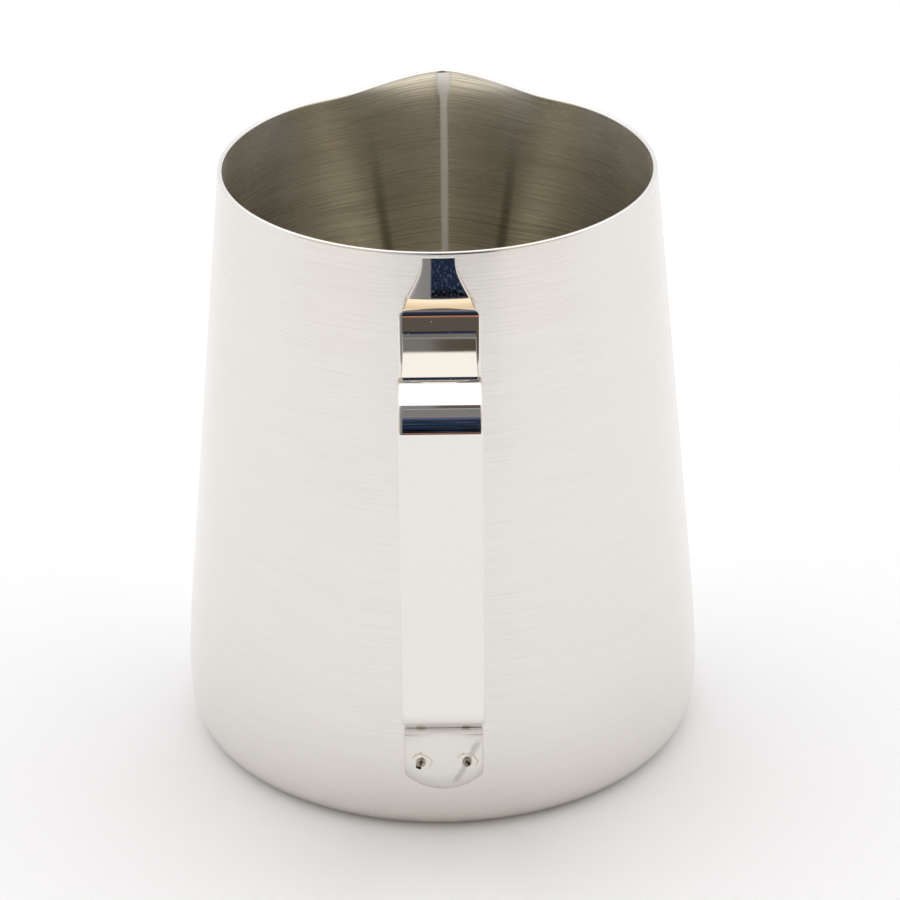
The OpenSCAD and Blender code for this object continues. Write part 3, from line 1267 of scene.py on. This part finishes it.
@dataclass
class SpotWeld:
    """One spot weld in the lower tab: a dished nugget with a spat of slag. Sizes in millimetres."""

    node: str
    slag_across: float
    slag_rise: float
    slag_length: float
    slag_turn: float
    radius: float = 0.9
    lip: float = 0.13
    dish: float = 0.12
    proud: float = 0.15
    sides: int = 48
    seed: int = 3

    def centre(self) -> np.ndarray:
        """Finds the middle of the weld's face on the exact part.

        Returns:
            The point, in millimetres.
        """
        low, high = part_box(self.node)
        middle = (low + high) / 2 / MM
        return np.array([middle.x, low.y / MM + self.proud, middle.z])

    def build(self) -> bpy.types.Object:
        """Builds the nugget and its slag.

        Returns:
            The weld, with the slag in a second material slot.
        """
        shape = np.random.default_rng(self.seed)
        profile = [
            (0.25, -self.dish), (0.52, -self.dish * 0.7), (0.64, -0.02), (0.72, self.lip * 0.8),
            (0.79, self.lip), (0.87, self.lip * 0.7), (0.93, 0.02), (0.98, -0.15), (0.98, -0.6),
        ]
        turn = np.linspace(0.0, 2 * math.pi, self.sides, endpoint=False)
        wobble = 1.0 + 0.05 * np.sin(2 * turn + shape.uniform(0, 6))
        wobble = wobble + 0.03 * np.sin(5 * turn + shape.uniform(0, 6))
        rings = []
        for r, h in profile:
            reach = r * self.radius * wobble
            lift = h * (1.0 + 0.25 * np.sin(3 * turn + shape.uniform(0, 6)))
            rings.append(np.stack([reach * np.cos(turn), -lift, reach * np.sin(turn)], axis=1))
        faces: list[Sequence[int]] = list(grid_faces(len(rings), self.sides, True))
        faces.append(list(range(self.sides)))
        points = np.concatenate(rings)
        slag_from, slag_faces_from = len(points), len(faces)
        rows = 7
        tilt = math.radians(self.slag_turn)
        slag = []
        for i in range(rows):
            rise = math.radians(90.0 * i / rows)
            along = self.slag_length / 2 * math.cos(rise) * np.cos(turn)
            wide = self.slag_length / 4 * math.cos(rise) * np.sin(turn)
            x = self.slag_across + along * math.cos(tilt) - wide * math.sin(tilt)
            z = self.slag_rise + along * math.sin(tilt) + wide * math.cos(tilt)
            slag.append(np.stack([x, np.full_like(x, 0.06 - 0.18 * math.sin(rise)), z], axis=1))
        points = np.concatenate([points, *slag])
        for face in grid_faces(rows, self.sides, True):
            faces.append([slag_from + v for v in face[::-1]])
        faces.append([slag_from + (rows - 1) * self.sides + k for k in range(self.sides - 1, -1, -1)])
        piece = new_piece(self.node.replace("lower_weld", "spot_weld"), points + self.centre(), faces)
        for polygon in piece.data.polygons:
            polygon.material_index = int(polygon.index >= slag_faces_from)
        return piece

    def dress(self, piece: bpy.types.Object, finish: bpy.types.Material, slag: bpy.types.Material) -> None:
        """Gives the weld its finishes and its place in the frame.

        Args:
            piece: The weld.
            finish: Finish of the nugget.
            slag: Finish of the slag.
        """
        dress_piece(piece, self.node, "weld_metal", finish, slag)


# ---------------------------------------------------------------------------
# Studio
# ---------------------------------------------------------------------------


@dataclass
class Studio:
    """The pale floor, the soft light all round and the camera. Sizes in metres and degrees."""

    floor_radius: float = 0.63
    camera_back: float = 0.58656
    camera_height: float = 0.35334
    lens: float = 142.7
    pitch: float = 27.13
    pan: float = 0.17
    roll: float = 0.56

    def build_floor(self) -> None:
        """Lays the round pale floor."""
        sides = 128
        turn = np.linspace(0.0, 2 * math.pi, sides, endpoint=False)
        rim = np.stack([np.cos(turn), np.sin(turn), 0 * turn], axis=1) * self.floor_radius
        points = np.concatenate([rim, [[0.0, 0.0, 0.0]]]) / MM
        faces = [(sides, j, (j + 1) % sides) for j in range(sides)]
        floor = new_piece("floor", points, faces)
        material = bpy.data.materials.new("pale_floor")
        material.use_nodes = True
        shader = material.node_tree.nodes["Principled BSDF"]
        shader.inputs["Roughness"].default_value = 0.9
        shader.inputs["Specular IOR Level"].default_value = 0.0
        tree = Tree(material.node_tree)
        cloth = tree.noise(tree.node("ShaderNodeTexCoord").outputs["Object"], 240.0, 4.0)
        pale = tree.mix(cloth, (0.96, 0.96, 0.97, 1.0), (0.98, 0.98, 0.99, 1.0))
        tree.feed(shader.inputs["Base Color"], pale)
        floor.data.materials.append(material)

    def build_light(self) -> None:
        """Surrounds the object with a white studio that is grey and dark only behind the handle."""
        world = bpy.data.worlds.new("studio")
        bpy.context.scene.world = world
        world.use_nodes = True
        tree = Tree(world.node_tree)
        background = world.node_tree.nodes["Background"]
        x, y, z = tree.place("Generated")
        degrees = 180.0 / math.pi
        rise = tree.math("MULTIPLY", tree.math("ARCTAN2", z, tree.distance(x, y)), degrees)
        front = tree.math("MULTIPLY", y, -1.0)
        swing = tree.math("MULTIPLY", tree.math("ARCTAN2", x, front), degrees)
        # Rise over the top counts on past 90 degrees behind the object
        tilt = tree.math("MULTIPLY", tree.math("ARCTAN2", z, front), degrees)

        overhead = (1.46, 1.46, 1.46, 1.0)
        backdrop = (0.97, 0.98, 1.02, 1.0)
        curtain = (0.72, 0.66, 0.57, 1.0)
        grey = (0.24, 0.24, 0.235, 1.0)
        brown = (0.13, 0.112, 0.09, 1.0)
        left_near = (0.27, 0.265, 0.27, 1.0)
        left_far = (0.55, 0.54, 0.56, 1.0)
        black = (0.004, 0.004, 0.006, 1.0)
        navy = (0.014, 0.024, 0.052, 1.0)
        haze = (0.16, 0.20, 0.30, 1.0)
        ember = (0.60, 0.24, 0.14, 1.0)
        earth = (0.115, 0.098, 0.082, 1.0)

        open_sky = tree.mix(tree.ramp(rise, 10.0, 60.0), backdrop, overhead)
        wide = tree.math("ABSOLUTE", swing)
        beside = tree.product(tree.ramp(wide, 24.0, 32.0), tree.ramp(wide, 70.0, 85.0, 1.0, 0.0))
        beside = tree.product(beside, tree.ramp(tilt, 70.0, 74.0, 1.0, 0.0))
        open_sky = tree.mix(beside, open_sky, curtain)
        figure = tree.mix(tree.ramp(tilt, 3.0, 9.0), black, navy)
        figure = tree.mix(tree.ramp(tilt, 27.0, 37.5), figure, haze)
        folds = tree.combine(tree.math("MULTIPLY", swing, 0.9), tree.math("MULTIPLY", tilt, 0.35), 0.0)
        mottle = tree.noise(folds, 1.0, 3.0)
        figure = tree.mix(tree.math("MULTIPLY", tree.ramp(mottle, 0.5, 0.75), 0.7), figure, haze)
        upper = tree.mix(tree.ramp(tilt, 38.9, 39.3), ember, grey)
        line = tree.math("MULTIPLY", tree.ramp(tilt, 57.0, 57.6), tree.ramp(tilt, 58.6, 59.2, 1.0, 0.0))
        upper = tree.mix(line, upper, (0.50, 0.50, 0.49, 1.0))
        high = tree.mix(tree.ramp(swing, -0.3, 0.0), left_near, brown)
        upper = tree.mix(tree.ramp(tilt, 59.5, 60.5), upper, high)
        lower = tree.mix(tree.ramp(tilt, -5.7, -5.5), earth, ember)
        lower = tree.mix(tree.ramp(tilt, -4.5, -4.3), lower, black)
        band = tree.mix(tree.ramp(tilt, -4.3, -4.0), lower, figure)
        band = tree.mix(tree.ramp(tilt, 38.0, 38.2), band, upper)
        left = tree.ramp(swing, -4.4, -3.4, 1.0, 0.0)
        far = tree.ramp(swing, -26.0, -6.0, 1.0, 0.0)
        band = tree.mix(left, band, tree.mix(far, left_near, left_far))
        narrow = tree.ramp(wide, 26.0, 34.0, 1.0, 0.0)
        under_roof = tree.ramp(tilt, 67.5, 69.5, 1.0, 0.0)
        ahead = tree.math("GREATER_THAN", front, 0.0)
        sky = tree.mix(tree.product(narrow, under_roof, ahead), open_sky, band)
        seen = tree.node("ShaderNodeLightPath").outputs["Is Camera Ray"]
        tree.feed(background.inputs["Color"], tree.mix(seen, sky, (1.0, 1.0, 1.0, 1.0)))
        background.inputs["Strength"].default_value = 1.0
        bpy.context.scene.view_settings.view_transform = "Standard"
        bpy.context.scene.view_settings.look = "None"

    def build_camera(self) -> None:
        """Sets the camera behind and above the handle."""
        data = bpy.data.cameras.new("camera")
        data.sensor_width = 36.0
        data.lens = self.lens
        camera = bpy.data.objects.new("camera", data)
        bpy.context.scene.collection.objects.link(camera)
        pan, pitch, roll = (math.radians(v) for v in (self.pan, self.pitch, self.roll))
        ahead = Vector((math.sin(pan) * math.cos(pitch), math.cos(pan) * math.cos(pitch), -math.sin(pitch)))
        right = Vector((math.cos(pan), -math.sin(pan), 0.0))
        up = right.cross(ahead)
        across = right * math.cos(roll) - up * math.sin(roll)
        above = right * math.sin(roll) + up * math.cos(roll)
        turn = Matrix((across, above, -ahead)).transposed().to_4x4()
        camera.matrix_world = Matrix.Translation((0.0, -self.camera_back, self.camera_height)) @ turn
        data.clip_start = 0.01
        data.clip_end = 10.0
        bpy.context.scene.camera = camera


def main() -> None:
    """Builds every piece and the studio in order."""
    logging.basicConfig(level=logging.INFO, format="%(name)s: %(message)s")
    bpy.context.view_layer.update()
    effects = Effects()
    outside, inside = POLISHED_WALL.make(effects), BRUSHED_INSIDE.make(effects)
    strip, weld, slag = POLISHED_STRIP.make(effects), WELD_METAL.make(effects), SLAG.make(effects)

    jug = JugShell()
    shell = jug.build()
    jug.dress(shell, outside, inside)
    LOG.info("%s: %d faces", shell.name, len(shell.data.polygons))

    handle = HandleStrap(jug=jug)
    strap = handle.build()
    handle.dress(strap, strip)
    LOG.info("%s: %d faces", strap.name, len(strap.data.polygons))

    seam = UpperSeam(strap=handle)
    seam_piece = seam.build()
    seam.dress(seam_piece, strip)
    for spot in (
        SpotWeld(
            "lower_weld_left", slag_across=-0.45, slag_rise=-0.95, slag_length=1.1, slag_turn=-30.0
        ),
        SpotWeld(
            "lower_weld_right", slag_across=0.35, slag_rise=-0.3, slag_length=0.9, slag_turn=55.0, seed=5
        ),
    ):
        piece = spot.build()
        spot.dress(piece, weld, slag)
        LOG.info("%s: %d faces", piece.name, len(piece.data.polygons))

    studio = Studio()
    studio.build_floor()
    studio.build_light()
    studio.build_camera()


if __name__ == "__main__":
    main()
